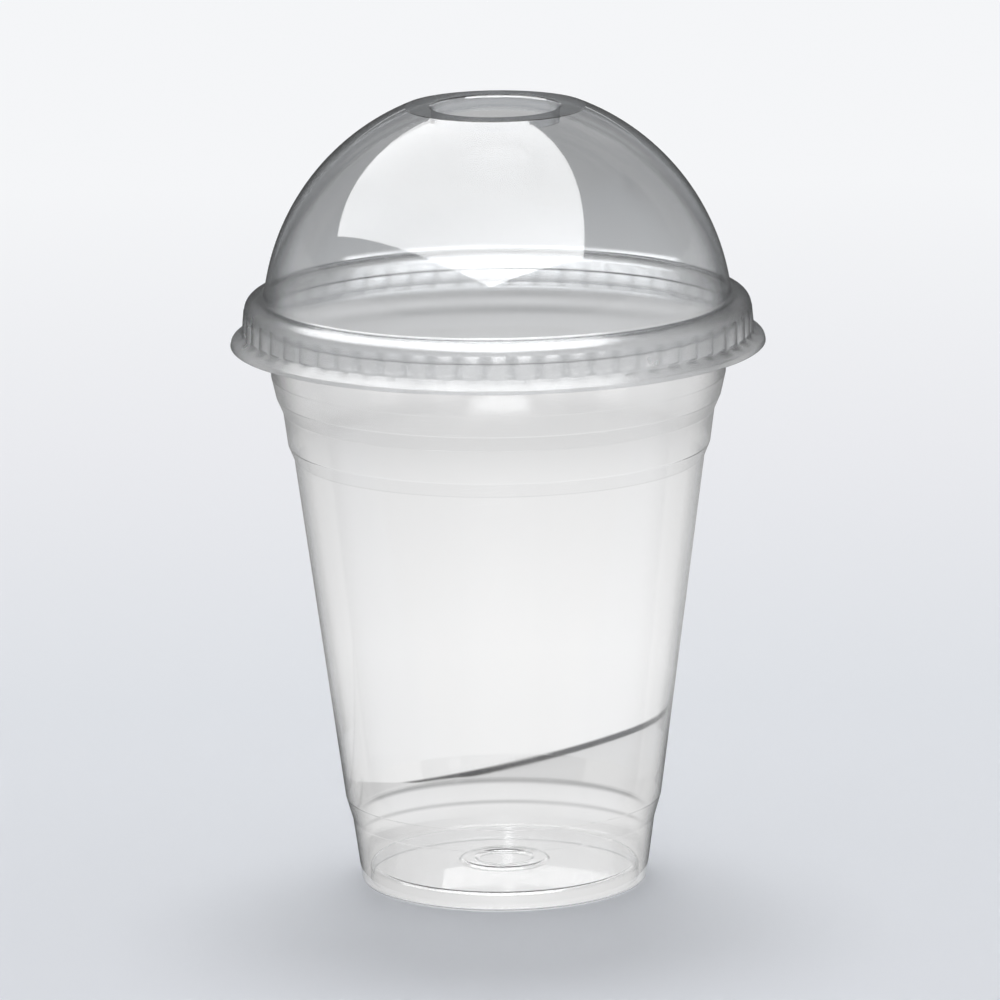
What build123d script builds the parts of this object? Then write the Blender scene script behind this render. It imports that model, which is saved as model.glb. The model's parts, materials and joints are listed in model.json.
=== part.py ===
from build123d import *
import os
from math import acos, degrees, sqrt

os.makedirs("parts", exist_ok=True)

# A clear cold-drink cup of about half a litre with its press-on dome lid. Both are thermoformed from
# sheet, so each piece is one thin wall of even thickness: the outer skin is drawn first, in millimetres
# from the centre of the base, and the wall is its offset to the inside.

# Cup, from the table up. Radii are those of the outer skin
cup_sheet = 0.36
floor_rise = 3.2
floor_ring_inner = 5.4
floor_ring_outer = 8.8
floor_ring_height = 0.5
floor_ring_slope = 0.4
foot_inner_radius = 26.3
foot_outer_radius = 28.15
foot_inner_rounding = 0.6
heel_rounding = 0.9
floor_rounding = 0.5
stack_band_radius = 29.9
stack_band_height = 12.6
stack_step_height = 4.6
stack_step_width = 1.35
wall_height = 68.6
shoulder_step_height = 2.8
shoulder_step_width = 1.15
label_band_height = 6.6
neck_step_height = 3.0
neck_step_width = 1.3
neck_flare_height = 4.2
neck_flare_width = 0.95
neck_height = 12.9
neck_inset = 0.44
step_rounding = 0.9

# Rolled rim: a curl of sheet turned outwards and down
rim_curl_radius = 2.25
rim_radius = 49.25
rim_curl_angle = 235

# Lid, from the hem to the hole. It follows the curl of the rim all round at the gap
lid_sheet = 0.32
lid_gap = 0.2
grip_height = 4.3
rib_count = 60
rib_bulge = 0.45
hem_flare_height = 1.6
hem_flare_width = 2.55
hem_lip_height = 0.9
hem_lip_width = 0.2
hem_rounding = 0.8
dome_foot_inset = 1.1
dome_radius = 46.1
dome_top_above_rim = 39.9
hole_radius = 12.3
hole_ledge_width = 5.5
hole_lip_depth = 3.0
hole_rounding = 0.7
cut_overrun = 0.02

# Heights of the cup's stations, worked out upwards from the foot
stack_step_top = stack_band_height + stack_step_height
wall_top = stack_step_top + wall_height
label_band_bottom = wall_top + shoulder_step_height
label_band_top = label_band_bottom + label_band_height
neck_bottom = label_band_top + neck_step_height
neck_flare_top = neck_bottom + neck_flare_height
rim_centre_height = neck_flare_top + neck_height

# Radii of the same stations: the rim's and the foot's are given, and the wall's even slope joins them
rim_centre_radius = rim_radius - rim_curl_radius
rim_neck_radius = rim_centre_radius - rim_curl_radius + cup_sheet
neck_flare_radius = rim_neck_radius - neck_inset
neck_bottom_radius = neck_flare_radius - neck_flare_width
label_band_top_radius = neck_bottom_radius - neck_step_width
wall_bottom_radius = stack_band_radius + stack_step_width
sloping_width = label_band_top_radius - shoulder_step_width - wall_bottom_radius
wall_top_radius = wall_bottom_radius + sloping_width * wall_height / (wall_height + label_band_height)
label_band_bottom_radius = wall_top_radius + shoulder_step_width

# Cup: one sheet from the middle of the floor, round the foot ring, up the wall and over the rim
with BuildPart() as cup:
    with BuildSketch(Plane.XZ) as cup_section:
        with BuildLine() as cup_skin:
            skin = FilletPolyline(
                (0, floor_rise),
                (floor_ring_inner, floor_rise),
                (floor_ring_inner + floor_ring_slope, floor_rise + floor_ring_height),
                (floor_ring_outer - floor_ring_slope, floor_rise + floor_ring_height),
                (floor_ring_outer, floor_rise),
                (foot_inner_radius, floor_rise),
                (foot_inner_radius, 0),
                (foot_outer_radius, 0),
                (stack_band_radius, stack_band_height),
                (wall_bottom_radius, stack_step_top),
                (wall_top_radius, wall_top),
                (label_band_bottom_radius, label_band_bottom),
                (label_band_top_radius, label_band_top),
                (neck_bottom_radius, neck_bottom),
                (neck_flare_radius, neck_flare_top),
                (rim_neck_radius, rim_centre_height),
                radius=[
                    0, 0, 0, 0,
                    floor_rounding,
                    foot_inner_rounding,
                    heel_rounding,
                    step_rounding, step_rounding,
                    step_rounding, step_rounding,
                    step_rounding, step_rounding,
                    step_rounding,
                ],
            )
            JernArc(
                start=skin @ 1,
                tangent=skin % 1,
                radius=rim_curl_radius - cup_sheet,
                arc_size=-rim_curl_angle,
            )
            offset(amount=cup_sheet, side=Side.LEFT)
        make_face()
    revolve(axis=Axis.Z)


def scalloped_outline(valley_radius, bulge):
    """Closed line of shallow arcs, one for each grip rib, standing out between the valley points."""
    pitch = 360 / rib_count
    with BuildLine() as outline:
        for rib in range(rib_count):
            start, middle, end = (rib - 0.5) * pitch, rib * pitch, (rib + 0.5) * pitch
            ThreePointArc(
                Vector(valley_radius, 0).rotate(Axis.Z, start),
                Vector(valley_radius + bulge, 0).rotate(Axis.Z, middle),
                Vector(valley_radius, 0).rotate(Axis.Z, end),
            )
    return outline.line


# Stations of the lid, worked out from the rim that it closes over
skirt_inner_radius = rim_radius + lid_gap
skirt_radius = skirt_inner_radius + lid_sheet
shoulder_radius = skirt_radius - rim_centre_radius
dome_foot_radius = rim_centre_radius - dome_foot_inset
dome_foot_height = rim_centre_height + sqrt(shoulder_radius**2 - dome_foot_inset**2)
shoulder_sweep = degrees(acos(-dome_foot_inset / shoulder_radius))
dome_top_radius = hole_radius + hole_ledge_width
grip_top = rim_centre_height
grip_bottom = grip_top - grip_height
rib_foot = grip_bottom - rib_bulge * hem_flare_height / hem_flare_width
hem_lip_top = grip_bottom - hem_flare_height
hem_lip_radius = skirt_radius + hem_flare_width
dome_top = rim_centre_height + dome_top_above_rim

# Lid: one sheet from the lip turned down in the hole, over the dome and the rim, to the flared hem
with BuildPart() as dome_lid:
    with BuildSketch(Plane.XZ) as lid_section:
        with BuildLine() as lid_skin:
            FilletPolyline(
                (hole_radius, dome_top - hole_lip_depth),
                (hole_radius, dome_top),
                (dome_top_radius, dome_top),
                radius=hole_rounding,
            )
            RadiusArc((dome_top_radius, dome_top), (dome_foot_radius, dome_foot_height), dome_radius)
            CenterArc((rim_centre_radius, rim_centre_height), shoulder_radius, shoulder_sweep, -shoulder_sweep)
            FilletPolyline(
                (skirt_radius, rim_centre_height),
                (skirt_radius, grip_bottom),
                (hem_lip_radius, hem_lip_top),
                (hem_lip_radius + hem_lip_width, hem_lip_top - hem_lip_height),
                radius=hem_rounding,
            )
            offset(amount=lid_sheet, side=Side.RIGHT)
        make_face()
    revolve(axis=Axis.Z)
    # Grip ribs: the skirt bulges out in shallow flutes, hollow behind, that run down into the flare
    with BuildSketch(Plane.XY.offset(rib_foot)):
        make_face(scalloped_outline(skirt_radius, rib_bulge).edges())
        Circle(skirt_inner_radius + lid_sheet / 2, mode=Mode.SUBTRACT)
    extrude(amount=grip_top - rib_foot)
    with BuildSketch(Plane.XY.offset(rib_foot - lid_sheet)):
        make_face(scalloped_outline(skirt_inner_radius - cut_overrun, rib_bulge).edges())
    extrude(amount=grip_top - rib_foot, mode=Mode.SUBTRACT)

cup.part.label = "cup"
export_step(cup.part, "parts/cup.step")
dome_lid.part.label = "dome_lid"
export_step(dome_lid.part, "parts/dome_lid.step")
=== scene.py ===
import json
import math

import bpy
from mathutils import Matrix, Vector


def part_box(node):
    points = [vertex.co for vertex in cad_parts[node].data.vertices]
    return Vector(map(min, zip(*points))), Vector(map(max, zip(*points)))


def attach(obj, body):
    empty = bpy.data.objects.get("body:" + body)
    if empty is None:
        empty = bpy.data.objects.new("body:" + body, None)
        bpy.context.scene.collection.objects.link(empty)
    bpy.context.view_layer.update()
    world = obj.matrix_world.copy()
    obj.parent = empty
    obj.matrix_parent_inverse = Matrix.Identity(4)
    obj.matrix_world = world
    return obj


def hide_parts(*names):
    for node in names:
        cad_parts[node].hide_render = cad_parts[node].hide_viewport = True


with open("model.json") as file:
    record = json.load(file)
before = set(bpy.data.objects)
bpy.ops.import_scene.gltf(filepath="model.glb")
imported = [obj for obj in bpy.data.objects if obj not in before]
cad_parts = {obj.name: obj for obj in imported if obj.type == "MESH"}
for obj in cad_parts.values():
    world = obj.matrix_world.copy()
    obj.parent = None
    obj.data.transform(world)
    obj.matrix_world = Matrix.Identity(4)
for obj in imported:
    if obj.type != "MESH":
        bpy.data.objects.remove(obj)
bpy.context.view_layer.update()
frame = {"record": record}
MM = 0.001

# View. The cup is seen from a little above its rim, and it leans a hair to the left in the picture.
# Places in the picture are pixels of a 1000 frame, and the scale is that at the middle of the foot.
PHOTO = 1000
PX_PER_MM = 5.03
FOOT_X, FOOT_Y = 504.6, 875.5
ELEVATION = math.radians(12.4)
LEAN = math.radians(0.7)
VIEW_DISTANCE = 1.8
SENSOR_WIDTH = 36  # of the camera, in mm as its lens is
NEAREST, FURTHEST = 0.1, 60

to_camera = Vector((0, -math.cos(ELEVATION), math.sin(ELEVATION)))
level_right, level_up = Vector((1, 0, 0)), Vector((0, math.sin(ELEVATION), math.cos(ELEVATION)))
camera_right = math.cos(LEAN) * level_right - math.sin(LEAN) * level_up
camera_up = math.cos(LEAN) * level_up + math.sin(LEAN) * level_right
aim = ((PHOTO / 2 - FOOT_X) * camera_right + (FOOT_Y - PHOTO / 2) * camera_up) / PX_PER_MM * MM
lens = bpy.data.cameras.new("camera")
lens.sensor_width = SENSOR_WIDTH
lens.lens = lens.sensor_width * VIEW_DISTANCE / (PHOTO / PX_PER_MM * MM)
lens.clip_start, lens.clip_end = NEAREST, FURTHEST
camera = bpy.data.objects.new("camera", lens)
turned = Matrix((camera_right, camera_up, to_camera)).transposed().to_4x4()
camera.matrix_world = Matrix.Translation(aim + to_camera * VIEW_DISTANCE) @ turned
bpy.context.scene.collection.objects.link(camera)
bpy.context.scene.camera = camera
bpy.context.scene.view_settings.view_transform = "Standard"


# The table top and the room. One pale seamless sheet, bluish grey at the front and almost white at the
# back, under an even pale room. Its colours are those of the picture's backdrop at that depth.
TABLE_SIZE = 16.0
SHEET_COLOURS = [  # distance behind the cup in metres, then the colour there
    (-0.08, (0.710, 0.731, 0.773)),
    (0.15, (0.737, 0.760, 0.800)),
    (0.41, (0.823, 0.831, 0.863)),
    (0.76, (0.913, 0.922, 0.939)),
]
ROOM_COLOUR = (1.0, 1.0, 1.0)
ROOM_LIGHT = 0.73
SUN_LIGHT, SUN_ANGLE = 0.29, math.radians(27)
SUN_DIRECTION = (0, -0.42, -1)


def new_material(name):
    """An empty node material: its tree, and its output node."""
    material = bpy.data.materials.new(name)
    material.use_nodes = True
    material.node_tree.nodes.clear()
    output = material.node_tree.nodes.new("ShaderNodeOutputMaterial")
    return material, material.node_tree, output


def ramp_over(tree, value, stops):
    """A colour that follows a value, through stops of (value, colour)."""
    span = tree.nodes.new("ShaderNodeMapRange")
    ramp = tree.nodes.new("ShaderNodeValToRGB")
    low, high = stops[0][0], stops[-1][0]
    span.inputs["From Min"].default_value = low
    span.inputs["From Max"].default_value = high
    while len(ramp.color_ramp.elements) < len(stops):
        ramp.color_ramp.elements.new(0.5)
    for stop, (at, colour) in zip(ramp.color_ramp.elements, stops):
        stop.position = (at - low) / (high - low)
        stop.color = (*colour, 1)
    tree.links.new(value, span.inputs["Value"])
    tree.links.new(span.outputs["Result"], ramp.inputs["Fac"])
    return ramp.outputs["Color"]


def table_material():
    material, tree, output = new_material("seamless_sheet")
    place = tree.nodes.new("ShaderNodeTexCoord")
    parts = tree.nodes.new("ShaderNodeSeparateXYZ")
    paint = tree.nodes.new("ShaderNodeBsdfDiffuse")
    tree.links.new(place.outputs["Object"], parts.inputs[0])
    tree.links.new(ramp_over(tree, parts.outputs["Y"], SHEET_COLOURS), paint.inputs["Color"])
    tree.links.new(paint.outputs[0], output.inputs["Surface"])
    return material


def flat_piece(name, corners, faces=((0, 1, 2, 3),)):
    """Flat faces through the corners: one face through four of them, unless others are given."""
    mesh = bpy.data.meshes.new(name)
    mesh.from_pydata(corners, [], faces)
    piece = bpy.data.objects.new(name, mesh)
    bpy.context.scene.collection.objects.link(piece)
    return piece


half = TABLE_SIZE / 2
table_top = flat_piece("table_top", [(-half, -half, 0), (half, -half, 0), (half, half, 0), (-half, half, 0)])
table_top.data.materials.append(table_material())

room = bpy.data.worlds.new("room")
room.use_nodes = True
backdrop = room.node_tree.nodes["Background"]
backdrop.inputs["Color"].default_value = (*ROOM_COLOUR, 1)
backdrop.inputs["Strength"].default_value = ROOM_LIGHT
bpy.context.scene.world = room

sun = bpy.data.lights.new("top_light", "SUN")
sun.energy = SUN_LIGHT * math.pi
sun.angle = SUN_ANGLE
top_light = bpy.data.objects.new("top_light", sun)
top_light.rotation_mode = "QUATERNION"
top_light.rotation_quaternion = Vector(SUN_DIRECTION).to_track_quat("-Z", "Y")
top_light.visible_glossy = False
top_light.visible_transmission = False
bpy.context.scene.collection.objects.link(top_light)


# Card behind the cup. As in glass photography, a card stands close behind it, grey at the top and white
# below, which gives clear plastic its tone. Only light that has come through the plastic sees the card.
# Below a slanting line near its foot the card is darker, as if a darker sheet leaned against it, and a dark
# line painted along that edge is the painted shadow of a gap between the two. Arcs of painted shade, and one
# painted highlight band, lie on the card where the eye sees the rim and the stacking step at the back of the
# cup.
CARD_Y, CARD_FRONT, CARD_HALF_WIDTH, CARD_HEIGHT = 0.075, -0.060, 0.095, 0.240
CARD_FADE = 0.025
CARD_FOOT = 0.0003  # how far its foot lies over the table
CARD_FOLD = 0.0001  # what is nearer than this to CARD_Y counts as the upright part
CARD_TONES = [  # height in metres, then the tone there
    (0.000, (0.99, 0.99, 0.99)),
    (0.028, (1.00, 1.00, 1.00)),
    (0.046, (0.95, 0.95, 0.95)),
    (0.064, (0.88, 0.88, 0.88)),
    (0.076, (0.71, 0.71, 0.71)),
    (0.081, (0.80, 0.80, 0.80)),
    (0.086, (0.90, 0.90, 0.90)),
    (0.090, (0.88, 0.88, 0.88)),
    (0.094, (0.73, 0.73, 0.73)),
    (0.104, (0.60, 0.60, 0.60)),
    (0.111, (0.60, 0.60, 0.60)),
    (0.127, (0.46, 0.46, 0.46)),
    (0.165, (0.38, 0.38, 0.38)),
    (0.240, (0.42, 0.42, 0.42)),
]
CARD_SIDE_TONES = [  # distance to the right in metres, then the share of the tone there: painted shade, darker towards the sides of the cup and most on the left
    (-0.050, (0.80, 0.80, 0.80)),
    (-0.025, (0.92, 0.92, 0.92)),
    (-0.004, (0.97, 0.97, 0.97)),
    (0.030, (0.98, 0.98, 0.98)),
    (0.050, (0.92, 0.92, 0.92)),
]
FLOOR_TONES = [  # distance to the right in metres, then the tone of the card's foot there: painted shade, darker towards the sides of the cup's base and most on the left
    (-0.032, (0.62, 0.62, 0.62)),
    (-0.018, (0.75, 0.75, 0.75)),
    (0.000, (0.86, 0.86, 0.86)),
    (0.018, (0.79, 0.79, 0.79)),
    (0.032, (0.74, 0.74, 0.74)),
]
GAP_HEIGHT, GAP_RISE, GAP_BEND = 0.00347, 0.2138, 1.76
GAP_SHADOW_TONES = [  # height over the line in metres, then the share of the card's tone there: the darker sheet below it, and the painted shadow of the gap along it
    (-0.0040, (0.80, 0.80, 0.80)),
    (-0.0008, (0.76, 0.76, 0.76)),
    (-0.0005, (0.10, 0.10, 0.10)),
    (0.0005, (0.10, 0.10, 0.10)),
    (0.0008, (1.00, 1.00, 1.00)),
]
CARD_PAINTED_ARCS = [  # radius about the axis, slope of the view, left end, right end, fade, then heights and tones of the painted shade and highlight
    (
        0.057, 0.194, -0.054, 0.054, 0.020,
        [(0.1026, 0.60), (0.1032, 0.42), (0.1038, 0.45), (0.1048, 0.80), (0.1056, 0.75),
         (0.1066, 0.44), (0.1072, 0.46), (0.1080, 0.88), (0.1090, 0.88), (0.1100, 0.60)],
    ),
    (
        0.056, 0.192, -0.032, 0.038, 0.001,
        [(0.1111, 0.70), (0.1120, 2.10), (0.1160, 2.10), (0.1170, 0.60)],
    ),
    (
        0.0325, 0.2525, -0.0324, 0.0324, 0.006,
        [(0.0040, 0.84), (0.0063, 0.88), (0.0069, 0.54), (0.0075, 0.88),
         (0.0106, 0.84), (0.0114, 0.34), (0.0120, 0.66), (0.0124, 0.82)],
    ),
]


def calc_in(tree):
    """A function that adds Math nodes to the tree, each given numbers or sockets and giving its output."""
    def calc(operation, *values, clamp=False):
        node = tree.nodes.new("ShaderNodeMath")
        node.operation = operation
        node.use_clamp = clamp
        for socket, value in zip(node.inputs, values):
            if hasattr(value, "links"):
                tree.links.new(value, socket)
            else:
                socket.default_value = value
        return node.outputs[0]
    return calc


def card_material():
    material, tree, output = new_material("backing_card")
    nodes, links, calc = tree.nodes, tree.links, calc_in(tree)

    def mixed(first, second, share=1.0, blend="MIX"):
        mix = nodes.new("ShaderNodeMix")
        mix.data_type = "RGBA"
        mix.blend_type = blend
        links.new(first, mix.inputs["A"])
        links.new(second, mix.inputs["B"])
        if hasattr(share, "links"):
            links.new(share, mix.inputs["Factor"])
        else:
            mix.inputs["Factor"].default_value = share
        return mix.outputs["Result"]

    def faded(value, none, full):
        edge = nodes.new("ShaderNodeMapRange")
        edge.interpolation_type = "SMOOTHSTEP"
        edge.inputs["From Min"].default_value = none
        edge.inputs["From Max"].default_value = full
        links.new(value, edge.inputs["Value"])
        return edge.outputs["Result"]

    place = nodes.new("ShaderNodeTexCoord")
    parts = nodes.new("ShaderNodeSeparateXYZ")
    links.new(place.outputs["Object"], parts.inputs[0])
    x, y, z = (parts.outputs[axis] for axis in "XYZ")
    across = calc("MULTIPLY", x, x)
    # A dark line painted along a slanting curve near the card's foot: the painted shadow of a gap, with the
    # card darker below it.
    straight = calc("ADD", GAP_HEIGHT, calc("MULTIPLY", x, GAP_RISE))
    gap_shadow_line = calc("ADD", straight, calc("MULTIPLY", across, GAP_BEND))
    # The side tones are painted shade, darker towards the sides of the cup.
    tone = mixed(ramp_over(tree, z, CARD_TONES), ramp_over(tree, x, CARD_SIDE_TONES), blend="MULTIPLY")
    tone = mixed(tone, ramp_over(tree, calc("SUBTRACT", z, gap_shadow_line), GAP_SHADOW_TONES), blend="MULTIPLY")
    # The foot's tones are painted shade, darker towards the sides of the cup's base.
    tone = mixed(tone, ramp_over(tree, x, FLOOR_TONES), calc("LESS_THAN", y, CARD_Y - CARD_FOLD))

    # Arcs of painted shade and a painted highlight band, where the eye sees the rim and the stacking step at
    # the back of the cup.
    for radius, slope, left, right, fade, heights in CARD_PAINTED_ARCS:
        depth = calc("SQRT", calc("MAXIMUM", calc("SUBTRACT", radius**2, across), 0))
        height = calc("ADD", z, calc("MULTIPLY", calc("SUBTRACT", y, depth), slope))
        lowest, highest = heights[0][0], heights[-1][0]
        level = calc("MULTIPLY", calc("GREATER_THAN", height, lowest), calc("LESS_THAN", height, highest))
        ends = calc("MULTIPLY", faded(x, left, left + fade), faded(x, right, right - fade))
        painted_arc_tones = ramp_over(tree, height, [(at, (grey, grey, grey)) for at, grey in heights])
        tone = mixed(tone, painted_arc_tones, calc("MULTIPLY", level, ends))

    glow, clear, mix = (nodes.new(kind) for kind in
                        ("ShaderNodeEmission", "ShaderNodeBsdfTransparent", "ShaderNodeMixShader"))
    links.new(tone, glow.inputs["Color"])
    links.new(faded(calc("ABSOLUTE", x), CARD_HALF_WIDTH, CARD_HALF_WIDTH - CARD_FADE), mix.inputs["Fac"])
    links.new(clear.outputs[0], mix.inputs[1])
    links.new(glow.outputs[0], mix.inputs[2])
    links.new(mix.outputs[0], output.inputs["Surface"])
    return material


def seen_only(piece, *kinds):
    """A stage piece that casts no shadow and is seen by only these kinds of ray."""
    for kind in ("camera", "diffuse", "glossy", "transmission", "shadow"):
        setattr(piece, "visible_" + kind, kind in kinds)


left, right, low = -CARD_HALF_WIDTH, CARD_HALF_WIDTH, CARD_FOOT
backing_card = flat_piece(
    "backing_card",
    [(left, CARD_Y, low), (right, CARD_Y, low), (right, CARD_Y, CARD_HEIGHT), (left, CARD_Y, CARD_HEIGHT),
     (left, CARD_FRONT, low), (right, CARD_FRONT, low)],
    [(0, 1, 2, 3), (4, 5, 1, 0)],
)
backing_card.data.materials.append(card_material())
seen_only(backing_card, "transmission")


# Window. A large softbox overhead, a little to the left, whose four corners are where the bright pane on
# the dome is mirrored from. It is seen only in the plastic, as the flags and strips below are.
WINDOW_HEIGHT = 1.0
WINDOW_CORNERS = [  # place in metres, then how bright the pane is there
    (-1.80, 0.48, 4.0),
    (-0.12, -1.76, 4.9),
    (1.02, -0.82, 5.8),
    (-0.10, 1.06, 3.2),
]


def glow_material():
    """Emission as bright as the mesh's own tone at each place, and as dense as its own cover there."""
    material, tree, output = new_material("stage_glow")
    tone, cover, glow, clear, mix = (tree.nodes.new("ShaderNode" + kind) for kind in
                                     ("Attribute", "Attribute", "Emission", "BsdfTransparent", "MixShader"))
    tone.attribute_name, cover.attribute_name = "tone", "cover"
    tree.links.new(tone.outputs["Fac"], glow.inputs["Strength"])
    tree.links.new(cover.outputs["Fac"], mix.inputs["Fac"])
    tree.links.new(clear.outputs[0], mix.inputs[1])
    tree.links.new(glow.outputs[0], mix.inputs[2])
    tree.links.new(mix.outputs[0], output.inputs["Surface"])
    return material


stage_glow = glow_material()


def lit_piece(name, corners, faces, kinds):
    """A stage piece through corners given as (x, y, z, tone, cover), which only these kinds of ray see."""
    piece = flat_piece(name, [corner[:3] for corner in corners], faces)
    for place, attribute in ((3, "tone"), (4, "cover")):
        values = piece.data.attributes.new(attribute, "FLOAT", "POINT")
        values.data.foreach_set("value", [corner[place] for corner in corners])
    piece.data.materials.append(stage_glow)
    seen_only(piece, *kinds)


lit_piece(
    "window_softbox",
    [(x, y, WINDOW_HEIGHT, tone, 1) for x, y, tone in WINDOW_CORNERS],
    [(0, 1, 2, 3)],
    ("glossy", "transmission"),
)


# Flags and strips. Black flags stand round the cup, lie on the table and hang over the window, which gives
# clear plastic its dark edges. Narrow strip lights stand low in front, where only the grip ribs find them.
FLAG_SECTION = [  # distance from the cup's axis, height, tone
    (0.031, 0.0002, 0.06),
    (0.110, 0.0002, 0.10),
    (0.150, 0.0002, 0.40),
    (0.260, 0.0002, 0.45),
    (0.260, 0.0300, 0.40),
    (0.260, 0.0600, 0.08),
    (0.260, 0.2050, 0.06),
]
BACK_FLAG_FROM = 1  # the flags that are seen through the cup begin at this place of the section
BACK_FLAG_TURN, BACK_FLAG_FADE = math.radians(80), math.radians(35)
CEILING_HALF, CEILING_HEIGHT, CEILING_TONE = 4.0, 1.1, 0.06
FRONT_STRIP_SECTION = [(0.255, 0.052, 4.0), (0.255, 0.090, 4.0)]
FRONT_STRIP_TURNS = [(118, 134), (150, 162), (198, 210), (226, 242)]  # degrees from straight behind
TURN_STEPS = 48


def turned_strip(name, section, first, last, kinds, fade=0.0):
    """A lit piece whose section is turned about the cup between two angles from straight behind it. Its
    ends thin out smoothly over the angle of the fade."""
    corners = []
    for i in range(TURN_STEPS + 1):
        turn = first + (last - first) * i / TURN_STEPS
        cover = min(1, min(turn - first, last - turn) / fade) if fade else 1
        cover *= cover * (3 - 2 * cover)
        corners += [(r * math.sin(turn), r * math.cos(turn), z, tone, cover) for r, z, tone in section]
    n = len(section)
    faces = [
        (n * step + i, n * step + i + 1, n * (step + 1) + i + 1, n * (step + 1) + i)
        for step in range(TURN_STEPS)
        for i in range(n - 1)
    ]
    lit_piece(name, corners, faces, kinds)


turned_strip("black_flags", FLAG_SECTION, 0, 2 * math.pi, ("glossy",))
back_section = FLAG_SECTION[BACK_FLAG_FROM:]
turned_strip("back_flags", back_section, -BACK_FLAG_TURN, BACK_FLAG_TURN, ("transmission",), BACK_FLAG_FADE)
lit_piece(
    "ceiling_flag",
    [(side * CEILING_HALF, depth * CEILING_HALF, CEILING_HEIGHT, CEILING_TONE, 1)
     for side, depth in ((-1, -1), (1, -1), (1, 1), (-1, 1))],
    [(0, 1, 2, 3)],
    ("glossy", "transmission"),
)
for number, (first, last) in enumerate(FRONT_STRIP_TURNS):
    turns = math.radians(first), math.radians(last)
    turned_strip("front_strip_%d" % number, FRONT_STRIP_SECTION, *turns, ("glossy",))


# Cup: a clear thermoformed tumbler, drawn in one heat from a thin sheet over a stepped mould, trimmed,
# and its edge rolled outwards into the rim. Its wall is a third of a millimetre of glossy plastic.
CUP_SHEET = 0.36 * MM
FLOOR_RISE = 3.2 * MM
FLOOR_RING_INNER, FLOOR_RING_OUTER, FLOOR_RING_HEIGHT = 5.4 * MM, 8.8 * MM, 0.5 * MM
FLOOR_RING_SLOPE = 0.4 * MM
FOOT_INNER_RADIUS, FOOT_OUTER_RADIUS = 26.3 * MM, 28.15 * MM
FOOT_ROUNDING, HEEL_ROUNDING = 0.6 * MM, 0.9 * MM
STACK_BAND_RADIUS, STACK_BAND_TOP, STACK_STEP_TOP = 29.9 * MM, 12.6 * MM, 17.2 * MM
STACK_STEP_WIDTH = 1.35 * MM
WALL_TOP, LABEL_BAND_BOTTOM, LABEL_BAND_TOP = 85.8 * MM, 88.6 * MM, 95.2 * MM
NECK_BOTTOM, NECK_FLARE_TOP = 98.2 * MM, 102.4 * MM
SHOULDER_STEP_WIDTH, NECK_STEP_WIDTH, NECK_FLARE_WIDTH = 1.15 * MM, 1.3 * MM, 0.95 * MM
NECK_INSET = 0.44 * MM
STEP_ROUNDING = 0.4 * MM
CURL_RADIUS = 2.25 * MM
CURL_ANGLE = math.radians(235)
ARC_STEP = math.radians(9)
LONG_RUN, SUPPORT = 0.5 * MM, 0.1 * MM
MITRE_LIMIT = 0.5
AROUND = 288
SEAM = 0.001 * MM  # points nearer than this are one
SHEET_IOR = 1.57
DRAW_LINES, DRAW_LINE_DETAIL, DRAW_LINE_STRETCH = 110, 2, 0.12
RELIEF, RELIEF_DEPTH = 0.6, 0.02 * MM
HAZE, HAZE_DETAIL, HAZE_RANGE = 45, 5, (0.35, 0.75)
VALLEY_SHADE_SIDE = 0.35  # where the painted shade on a valley's side begins, from crest 0 to valley 1

cup_low, cup_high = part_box("cup")
rim_radius = (cup_high.x - cup_low.x) / 2
rim_centre = Vector((rim_radius - CURL_RADIUS, cup_high.z - CURL_RADIUS))
neck_top_radius = rim_centre.x - CURL_RADIUS + CUP_SHEET


def arc(centre, radius, start, sweep):
    """Points of an arc in the section plane, as (radius, height) from the cup's axis."""
    count = max(2, math.ceil(abs(sweep) / ARC_STEP))
    angles = [start + sweep * i / count for i in range(count + 1)]
    return [centre + radius * Vector((math.cos(a), math.sin(a))) for a in angles]


def skin(corners):
    """A line through corners given as (radius, height, rounding), with each corner rounded by an arc. Long
    straight runs get a point close to each end, so that they are shaded as flat as they are."""
    points = []
    for i, (r, z, rounding) in enumerate(corners):
        corner = Vector((r, z))
        if i in (0, len(corners) - 1) or not rounding:
            points.append(corner)
            continue
        back = (Vector(corners[i - 1][:2]) - corner).normalized()
        ahead = (Vector(corners[i + 1][:2]) - corner).normalized()
        half = back.angle(ahead) / 2
        reach = rounding / math.tan(half)
        centre = corner + (back + ahead).normalized() * rounding / math.sin(half)
        first, last = corner + back * reach - centre, corner + ahead * reach - centre
        sweep = math.atan2(first.x * last.y - first.y * last.x, first.dot(last))
        points += arc(centre, rounding, math.atan2(first.y, first.x), sweep)
    line = points[:1]
    for start, end in zip(points, points[1:]):
        if (end - start).length > LONG_RUN:
            share = SUPPORT / (end - start).length
            line += [start.lerp(end, share), start.lerp(end, 1 - share)]
        line.append(end)
    return line


def walled(line, sheet):
    """A closed section: the line as the outer skin, and the inner skin a sheet's thickness to its left."""
    inner = []
    for i, point in enumerate(line):
        runs = []
        if i > 0:
            runs.append((point - line[i - 1]).normalized())
        if i < len(line) - 1:
            runs.append((line[i + 1] - point).normalized())
        sides = [Vector((-run.y, run.x)) for run in runs]
        normal = sum(sides, Vector((0, 0))).normalized()
        inner.append(point + normal * sheet / max(MITRE_LIMIT, normal.dot(sides[0])))
    return line + inner[::-1]


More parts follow.
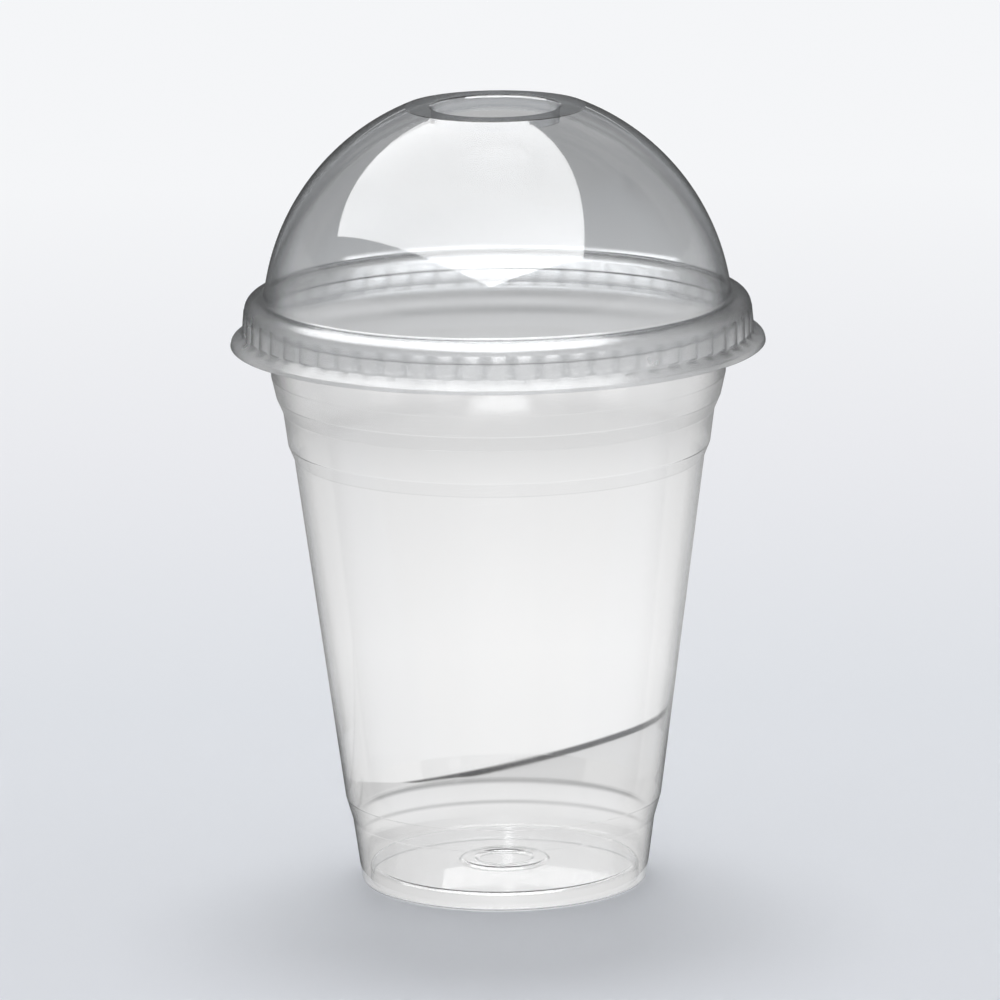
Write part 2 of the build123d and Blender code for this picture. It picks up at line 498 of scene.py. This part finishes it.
def lathe_tree():
    """Geometry Nodes that turn a section, a chain of points in the XZ plane, about the Z axis. In the rib
    zone the radius swells in even flutes, so that both skins of a thin wall are formed alike."""
    tree = bpy.data.node_groups.new("turned_sheet", "GeometryNodeTree")
    sockets = {}
    for name, kind in [
        ("Section", "NodeSocketGeometry"),
        ("Around", "NodeSocketInt"),
        ("Rib Count", "NodeSocketFloat"),
        ("Rib Bulge", "NodeSocketFloat"),
        ("Rib Foot", "NodeSocketFloat"),
        ("Rib Top", "NodeSocketFloat"),
        ("Rib Fade", "NodeSocketFloat"),
        ("Material", "NodeSocketMaterial"),
    ]:
        sockets[name] = tree.interface.new_socket(name=name, in_out="INPUT", socket_type=kind).identifier
    tree.interface.new_socket(name="Sheet", in_out="OUTPUT", socket_type="NodeSocketGeometry")
    nodes, links = tree.nodes, tree.links
    given = nodes.new("NodeGroupInput")
    result = nodes.new("NodeGroupOutput")

    calc = calc_in(tree)

    # A unit grid: one side of it runs along the section, and the other once about the axis
    size = nodes.new("GeometryNodeAttributeDomainSize")
    grid = nodes.new("GeometryNodeMeshGrid")
    grid.inputs["Size X"].default_value = 1
    grid.inputs["Size Y"].default_value = 1
    links.new(given.outputs["Section"], size.inputs[0])
    links.new(size.outputs["Point Count"], grid.inputs["Vertices X"])
    links.new(calc("ADD", given.outputs["Around"], 1), grid.inputs["Vertices Y"])

    at = nodes.new("ShaderNodeSeparateXYZ")
    links.new(nodes.new("GeometryNodeInputPosition").outputs[0], at.inputs[0])
    last_row = calc("SUBTRACT", size.outputs["Point Count"], 1)
    row = calc("ROUND", calc("MULTIPLY", calc("ADD", at.outputs["X"], 0.5), last_row))
    turn = calc("ADD", at.outputs["Y"], 0.5)
    sample = nodes.new("GeometryNodeSampleIndex")
    sample.data_type = "FLOAT_VECTOR"
    links.new(given.outputs["Section"], sample.inputs["Geometry"])
    links.new(nodes.new("GeometryNodeInputPosition").outputs[0], sample.inputs["Value"])
    links.new(row, sample.inputs["Index"])
    profile = nodes.new("ShaderNodeSeparateXYZ")
    links.new(sample.outputs[0], profile.inputs[0])
    radius, height = profile.outputs["X"], profile.outputs["Z"]

    across = calc("FRACT", calc("ADD", calc("MULTIPLY", turn, given.outputs["Rib Count"]), 0.5))
    from_crest = calc("SUBTRACT", calc("MULTIPLY", across, 2), 1)
    scallop = calc("SUBTRACT", 1, calc("MULTIPLY", from_crest, from_crest))
    fade = given.outputs["Rib Fade"]
    above = calc("DIVIDE", calc("SUBTRACT", height, given.outputs["Rib Foot"]), fade, clamp=True)
    below = calc("DIVIDE", calc("SUBTRACT", given.outputs["Rib Top"], height), fade, clamp=True)
    crest = calc("MULTIPLY", scallop, given.outputs["Rib Bulge"])
    full = calc("ADD", radius, calc("MULTIPLY", crest, calc("MULTIPLY", above, below)))
    angle = calc("MULTIPLY", turn, -2 * math.pi)
    place = nodes.new("ShaderNodeCombineXYZ")
    links.new(calc("MULTIPLY", full, calc("COSINE", angle)), place.inputs["X"])
    links.new(calc("MULTIPLY", full, calc("SINE", angle)), place.inputs["Y"])
    links.new(height, place.inputs["Z"])

    moved = nodes.new("GeometryNodeSetPosition")
    closed = nodes.new("GeometryNodeMergeByDistance")
    smooth = nodes.new("GeometryNodeSetShadeSmooth")
    real = nodes.new("GeometryNodeRealizeInstances")
    dressed = nodes.new("GeometryNodeSetMaterial")
    closed.inputs["Distance"].default_value = SEAM
    links.new(grid.outputs["Mesh"], moved.inputs["Geometry"])
    links.new(place.outputs[0], moved.inputs["Position"])
    links.new(moved.outputs[0], closed.inputs["Geometry"])
    links.new(closed.outputs[0], smooth.inputs["Geometry"])
    links.new(smooth.outputs[0], real.inputs["Geometry"])
    links.new(real.outputs[0], dressed.inputs["Geometry"])
    links.new(given.outputs["Material"], dressed.inputs["Material"])
    links.new(dressed.outputs[0], result.inputs[0])
    return tree, sockets


lathe, lathe_inputs = lathe_tree()


def turned_sheet(name, section, material, **values):
    """A plain mesh of the section turned about the axis, as an object at the origin."""
    mesh = bpy.data.meshes.new(name + "_section")
    chain = [(point.x, 0, point.y) for point in section]
    mesh.from_pydata(chain, [(i, i + 1) for i in range(len(chain) - 1)], [])
    piece = bpy.data.objects.new(name, mesh)
    bpy.context.scene.collection.objects.link(piece)
    turning = piece.modifiers.new("turned", "NODES")
    turning.node_group = lathe
    values = {"Rib Count": 0.0, "Rib Bulge": 0.0, "Rib Foot": 0.0, "Rib Top": 0.0, "Rib Fade": 1.0, **values}
    for socket, value in values.items():
        turning[lathe_inputs[socket]] = value
    turning[lathe_inputs["Material"]] = material
    ready = piece.evaluated_get(bpy.context.evaluated_depsgraph_get())
    solid = bpy.data.meshes.new_from_object(ready)
    piece.modifiers.clear()
    piece.data = solid
    solid.name = name
    bpy.data.meshes.remove(mesh)
    return piece


def clear_sheet_material(name, colour, edge_colour, edge_start, scuff, drawn, valley_shade=None):
    """Clear formed sheet. It darkens where it is seen edge on, because light then crosses more of it. Its
    shine carries faint draw lines and the haze of handling, and is duller where it was drawn hardest: drawn
    is the two heights between which that sets in, and how much. Valley shade is painted shade between the
    grip ribs: how many ribs, from what height to what height, and how dark."""
    material, tree, output = new_material(name)
    nodes, links, calc = tree.nodes, tree.links, calc_in(tree)

    def ranged(value, low, high, to_low=0.0, to_high=1.0):
        span = nodes.new("ShaderNodeMapRange")
        span.interpolation_type = "SMOOTHSTEP"
        for socket, number in zip(span.inputs[1:5], (low, high, to_low, to_high)):
            socket.default_value = number
        links.new(value, span.inputs["Value"])
        return span.outputs["Result"]

    plastic = nodes.new("ShaderNodeBsdfPrincipled")
    plastic.inputs["IOR"].default_value = SHEET_IOR
    plastic.inputs["Transmission Weight"].default_value = 1.0
    place = nodes.new("ShaderNodeTexCoord")
    parts = nodes.new("ShaderNodeSeparateXYZ")
    links.new(place.outputs["Object"], parts.inputs[0])
    x, y, z = (parts.outputs[axis] for axis in "XYZ")
    facing = nodes.new("ShaderNodeLayerWeight")
    dark = ranged(facing.outputs["Facing"], edge_start, 1.0)
    # Painted shade between the grip ribs, darkest in the middle of each valley.
    if valley_shade:
        count, foot, top, share = valley_shade
        rib = calc("ADD", calc("MULTIPLY", calc("ARCTAN2", y, x), count / (2 * math.pi)), 0.5)
        off_crest = calc("ABSOLUTE", calc("SUBTRACT", calc("MULTIPLY", calc("FRACT", rib), 2), 1))
        within = calc("MULTIPLY", calc("GREATER_THAN", z, foot), calc("LESS_THAN", z, top))
        painted_valley_shade = calc("MULTIPLY", ranged(off_crest, VALLEY_SHADE_SIDE, 1.0, 0.0, share), within)
        dark = calc("MAXIMUM", dark, painted_valley_shade)
    tint = nodes.new("ShaderNodeMix")
    tint.data_type = "RGBA"
    tint.inputs["A"].default_value = (*colour, 1)
    tint.inputs["B"].default_value = (*edge_colour, 1)
    links.new(dark, tint.inputs["Factor"])
    links.new(tint.outputs["Result"], plastic.inputs["Base Color"])

    stretch = nodes.new("ShaderNodeMapping")
    stretch.inputs["Scale"].default_value = (1, 1, DRAW_LINE_STRETCH)
    lines = nodes.new("ShaderNodeTexNoise")
    lines.inputs["Scale"].default_value = DRAW_LINES
    lines.inputs["Detail"].default_value = DRAW_LINE_DETAIL
    haze = nodes.new("ShaderNodeTexNoise")
    haze.inputs["Scale"].default_value = HAZE
    haze.inputs["Detail"].default_value = HAZE_DETAIL
    relief = nodes.new("ShaderNodeBump")
    relief.inputs["Strength"].default_value = RELIEF
    relief.inputs["Distance"].default_value = RELIEF_DEPTH
    links.new(place.outputs["Object"], stretch.inputs["Vector"])
    links.new(stretch.outputs[0], lines.inputs["Vector"])
    links.new(place.outputs["Object"], haze.inputs["Vector"])
    low, high, duller = drawn
    dull = calc("ADD", ranged(haze.outputs["Fac"], *HAZE_RANGE, *scuff), ranged(z, low, high, 0, duller))
    links.new(dull, plastic.inputs["Roughness"])
    links.new(lines.outputs["Fac"], relief.inputs["Height"])
    links.new(relief.outputs[0], plastic.inputs["Normal"])
    links.new(plastic.outputs[0], output.inputs["Surface"])
    return material


wall_bottom_radius = STACK_BAND_RADIUS + STACK_STEP_WIDTH
neck_flare_radius = neck_top_radius - NECK_INSET
steps_width = SHOULDER_STEP_WIDTH + NECK_STEP_WIDTH + NECK_FLARE_WIDTH
wall_height, label_band_height = WALL_TOP - STACK_STEP_TOP, LABEL_BAND_TOP - LABEL_BAND_BOTTOM
draft = (neck_flare_radius - steps_width - wall_bottom_radius) / (wall_height + label_band_height)
wall_top_radius = wall_bottom_radius + draft * wall_height
label_bottom_radius = wall_top_radius + SHOULDER_STEP_WIDTH
label_top_radius = label_bottom_radius + draft * label_band_height
ring_base, ring_crown = FLOOR_RISE, FLOOR_RISE + FLOOR_RING_HEIGHT
cup_skin = skin([
    (0, ring_base, 0),
    (FLOOR_RING_INNER, ring_base, FLOOR_RING_SLOPE),
    (FLOOR_RING_INNER + FLOOR_RING_SLOPE, ring_crown, FLOOR_RING_SLOPE),
    (FLOOR_RING_OUTER - FLOOR_RING_SLOPE, ring_crown, FLOOR_RING_SLOPE),
    (FLOOR_RING_OUTER, ring_base, FLOOR_RING_SLOPE),
    (FOOT_INNER_RADIUS, ring_base, FOOT_ROUNDING),
    (FOOT_INNER_RADIUS, 0, FOOT_ROUNDING),
    (FOOT_OUTER_RADIUS, 0, HEEL_ROUNDING),
    (STACK_BAND_RADIUS, STACK_BAND_TOP, STEP_ROUNDING),
    (wall_bottom_radius, STACK_STEP_TOP, STEP_ROUNDING),
    (wall_top_radius, WALL_TOP, STEP_ROUNDING),
    (label_bottom_radius, LABEL_BAND_BOTTOM, STEP_ROUNDING),
    (label_top_radius, LABEL_BAND_TOP, STEP_ROUNDING),
    (neck_flare_radius - NECK_FLARE_WIDTH, NECK_BOTTOM, STEP_ROUNDING),
    (neck_flare_radius, NECK_FLARE_TOP, STEP_ROUNDING),
    (neck_top_radius, rim_centre.y, 0),
])
cup_skin += arc(rim_centre, CURL_RADIUS - CUP_SHEET, math.pi, -CURL_ANGLE)[1:]
cup_plastic = clear_sheet_material(
    "clear_cup_sheet",
    colour=(1.0, 1.0, 1.0),
    edge_colour=(0.50, 0.52, 0.54),
    edge_start=0.6,
    scuff=(0.02, 0.05),
    drawn=(0.090, 0.096, 0.10),
)
cup = turned_sheet("clear_cup", walled(cup_skin, CUP_SHEET), cup_plastic, Around=AROUND)
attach(cup, "cup")
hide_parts("cup")


# Dome lid: one more formed sheet, pressed down over the rim. It runs from the lip turned down inside the
# straw hole, over the dome and the sloping shoulder, to the ribbed grip band and the flared hem.
LID_SHEET, LID_GAP = 0.32 * MM, 0.2 * MM
GRIP_HEIGHT = 4.3 * MM
HEM_FLARE_HEIGHT, HEM_FLARE_WIDTH = 1.6 * MM, 2.55 * MM
HEM_LIP_HEIGHT, HEM_LIP_WIDTH = 0.9 * MM, 0.2 * MM
HEM_ROUNDING, HOLE_ROUNDING, CREASE_ROUNDING = 0.8 * MM, 0.7 * MM, 0.5 * MM
DOME_FOOT_INSET = 1.1 * MM
DOME_RADIUS, HOLE_LEDGE_WIDTH, HOLE_LIP_DEPTH = 46.1 * MM, 5.5 * MM, 3.0 * MM
DOME_STEP = math.radians(2.0)
RIB_COUNT, RIB_BULGE, RIB_FADE = 60.0, 0.45 * MM, 0.35 * MM
POINTS_PER_RIB = 8

lid_low, lid_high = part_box("dome_lid")
hole = next(mount for mount in frame["record"]["mounts"] if mount["name"] == "straw_hole")
hole_radius = hole["dims"]["r_mm"] * MM
skirt_radius = rim_radius + LID_GAP + LID_SHEET
shoulder_radius = skirt_radius - rim_centre.x
grip_top = rim_centre.y
grip_bottom = grip_top - GRIP_HEIGHT
hem_lip_radius = skirt_radius + HEM_FLARE_WIDTH
hem_lip_top = grip_bottom - HEM_FLARE_HEIGHT
rib_foot = grip_bottom - RIB_BULGE * HEM_FLARE_HEIGHT / HEM_FLARE_WIDTH
dome_foot = rim_centre + Vector((-DOME_FOOT_INSET, math.sqrt(shoulder_radius**2 - DOME_FOOT_INSET**2)))
dome_top = Vector((hole_radius + HOLE_LEDGE_WIDTH, lid_high.z))


def bulging_arc(start, end, radius, step):
    """Points of the arc from start to end that bulges away from the axis."""
    chord = end - start
    rise = math.sqrt(radius**2 - (chord.length / 2) ** 2)
    centre = (start + end) / 2 + Vector((-chord.y, chord.x)).normalized() * rise
    first, last = start - centre, end - centre
    sweep = math.atan2(first.x * last.y - first.y * last.x, first.dot(last))
    count = math.ceil(abs(sweep) / step)
    angle = math.atan2(first.y, first.x)
    turns = [angle + sweep * i / count for i in range(count + 1)]
    return [centre + radius * Vector((math.cos(a), math.sin(a))) for a in turns]


def creased(before, after, rounding):
    """Two lines that meet in a crease, joined with that rounding."""
    crease, clearance = before[-1], 2 * rounding
    before = [point for point in before if (point - crease).length > clearance]
    after = [point for point in after if (point - crease).length > clearance]
    return before[:-1] + skin([(*before[-1], 0), (*crease, rounding), (*after[0], 0)]) + after[1:]


hem = skin([
    (hem_lip_radius + HEM_LIP_WIDTH, hem_lip_top - HEM_LIP_HEIGHT, 0),
    (hem_lip_radius, hem_lip_top, HEM_ROUNDING),
    (skirt_radius, grip_bottom, HEM_ROUNDING),
    (skirt_radius, grip_top, 0),
])
foot_angle = math.acos(-DOME_FOOT_INSET / shoulder_radius)
shoulder = arc(rim_centre, shoulder_radius, 0, foot_angle)
dome = bulging_arc(dome_foot, dome_top, DOME_RADIUS, DOME_STEP)
hole_lip = skin([
    (*dome_top, 0),
    (hole_radius, dome_top.y, HOLE_ROUNDING),
    (hole_radius, dome_top.y - HOLE_LIP_DEPTH, 0),
])
lid_skin = creased(creased(hem + shoulder[1:], dome, CREASE_ROUNDING), hole_lip, CREASE_ROUNDING)
lid_section = walled(lid_skin, LID_SHEET)
lid_plastic = clear_sheet_material(
    "clear_lid_sheet",
    colour=(0.90, 0.91, 0.92),
    edge_colour=(0.30, 0.32, 0.34),
    edge_start=0.55,
    scuff=(0.02, 0.06),
    drawn=(0.1200, 0.1160, 0.22),
    # Painted shade between the grip ribs, at most 0.15 of the way to the edge colour.
    valley_shade=(RIB_COUNT, rib_foot, grip_top, 0.15),
)
ribs = {
    "Rib Count": RIB_COUNT,
    "Rib Bulge": RIB_BULGE,
    "Rib Foot": rib_foot,
    "Rib Top": grip_top,
    "Rib Fade": RIB_FADE,
}
around_lid = int(RIB_COUNT) * POINTS_PER_RIB
lid = turned_sheet("clear_dome_lid", lid_section + lid_section[:1], lid_plastic, Around=around_lid, **ribs)
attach(lid, "lid")
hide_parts("dome_lid")
